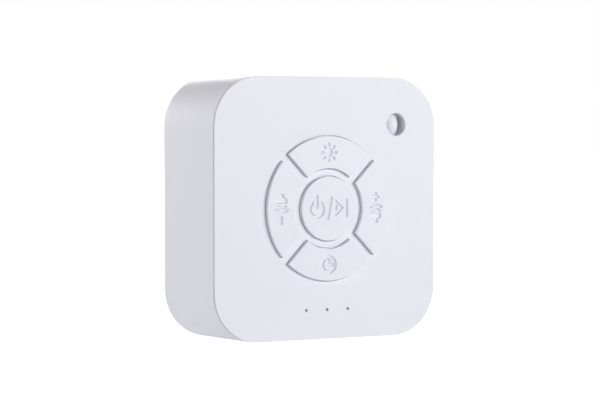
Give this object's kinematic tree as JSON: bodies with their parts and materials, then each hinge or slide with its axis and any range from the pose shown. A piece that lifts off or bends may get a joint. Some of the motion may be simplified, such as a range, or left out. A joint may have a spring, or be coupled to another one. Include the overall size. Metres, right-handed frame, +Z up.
{
  "type": "white noise machine",
  "caption": "Upright rounded square sound machine with a round pad of raised sprung keys, indicator holes, a corner strap eyelet, a night-light window and a rear loudspeaker.",
  "frame": {"origin": "middle of the flat bottom side that it stands on", "axes": "+X right as seen from the front, +Y towards the back, +Z up; the front panel faces -Y"},
  "size_m": [0.1, 0.0398, 0.1],
  "materials": {
    "panel_plastic": "satin moulded, faint lavender white",
    "case_plastic": "satin moulded, faint lavender white",
    "key_plastic": "satin moulded, engraved symbols",
    "window_plastic": "frosted, translucent",
    "guide_plastic": "smoked clear",
    "pad_rubber": "matte light grey",
    "dark_plastic": "matte black",
    "light_plastic": "matte ivory",
    "board_green": "solder mask",
    "board_white": "white solder mask",
    "lamp_resin": "clear resin over phosphor",
    "steel": "zinc plated",
    "shell_steel": "bright plated",
    "basket_steel": "black coat",
    "ferrite": "fired ferrite",
    "copper": "enamelled wire",
    "tag_brass": "tinned tags on strip",
    "cone_paper": "pressed pulp",
    "surround_rubber": "matte black",
    "spider_cloth": "resin-dipped weave",
    "foam": "closed-cell foam",
    "grille_felt": "black felt",
    "cell_wrap": "shrink sleeve over a metal can",
    "wire_red": "insulation",
    "wire_black": "insulation",
    "wire_white": "insulation"
  },
  "bodies": {
    "case": {"front_panel": "panel_plastic", "housing": "case_plastic", "strap_cup": "case_plastic", "indicator_guide": "guide_plastic", "lamp_window": "window_plastic", "foot_pads": "pad_rubber", "switch_bodies": "dark_plastic", "indicator_leds": "lamp_resin", "key_board": "board_green", "key_ribbon": "light_plastic", "ribbon_sockets": "light_plastic", "main_board": "board_green", "board_chips": "dark_plastic", "board_capacitors": "cell_wrap", "board_inductor": "ferrite", "lead_sockets": "light_plastic", "usb_shell": "shell_steel", "usb_tongue": "dark_plastic", "lamp_board": "board_white", "lamp_leds": "lamp_resin", "lamp_leads": "wire_white", "battery_cell": "cell_wrap", "battery_guard": "board_green", "battery_pads": "foam", "battery_leads": "wire_red", "speaker_frame": "basket_steel", "speaker_magnet": "ferrite", "speaker_yoke": "steel", "speaker_pole_plate": "steel", "speaker_surround": "surround_rubber", "speaker_spider": "spider_cloth", "speaker_gasket": "foam", "speaker_terminal": "tag_brass", "speaker_leads": "wire_black", "grille_cloth": "grille_felt", "case_screws": "steel", "key_board_screws": "steel", "main_board_screws": "steel", "speaker_screws": "steel"},
    "power_key": {"power_key": "key_plastic", "power_stem": "dark_plastic"},
    "light_key": {"light_key": "key_plastic", "light_stem": "dark_plastic"},
    "timer_key": {"timer_key": "key_plastic", "timer_stem": "dark_plastic"},
    "volume_down_key": {"volume_down_key": "key_plastic", "volume_down_stem": "dark_plastic"},
    "volume_up_key": {"volume_up_key": "key_plastic", "volume_up_stem": "dark_plastic"},
    "cone": {"speaker_cone": "cone_paper", "speaker_dust_cap": "cone_paper", "speaker_coil": "copper"}
  },
  "joints": [
    {"name": "power_push", "type": "slide", "parent": "case", "child": "power_key", "axis": [0, 1, 0], "range_m": [0, 0.0005], "stiffness_N_per_m": 2000, "springref_m": -0.0002},
    {"name": "light_push", "type": "slide", "parent": "case", "child": "light_key", "axis": [0, 1, 0], "range_m": [0, 0.0005], "stiffness_N_per_m": 2000, "springref_m": -0.0002},
    {"name": "timer_push", "type": "slide", "parent": "case", "child": "timer_key", "axis": [0, 1, 0], "range_m": [0, 0.0005], "stiffness_N_per_m": 2000, "springref_m": -0.0002},
    {"name": "volume_down_push", "type": "slide", "parent": "case", "child": "volume_down_key", "axis": [0, 1, 0], "range_m": [0, 0.0005], "stiffness_N_per_m": 2000, "springref_m": -0.0002},
    {"name": "volume_up_push", "type": "slide", "parent": "case", "child": "volume_up_key", "axis": [0, 1, 0], "range_m": [0, 0.0005], "stiffness_N_per_m": 2000, "springref_m": -0.0002},
    {"name": "cone_stroke", "type": "slide", "parent": "case", "child": "cone", "axis": [0, 1, 0], "range_m": [-0.001, 0.001], "stiffness_N_per_m": 1500, "deforming": ["speaker_surround", "speaker_spider"]}
  ]
}
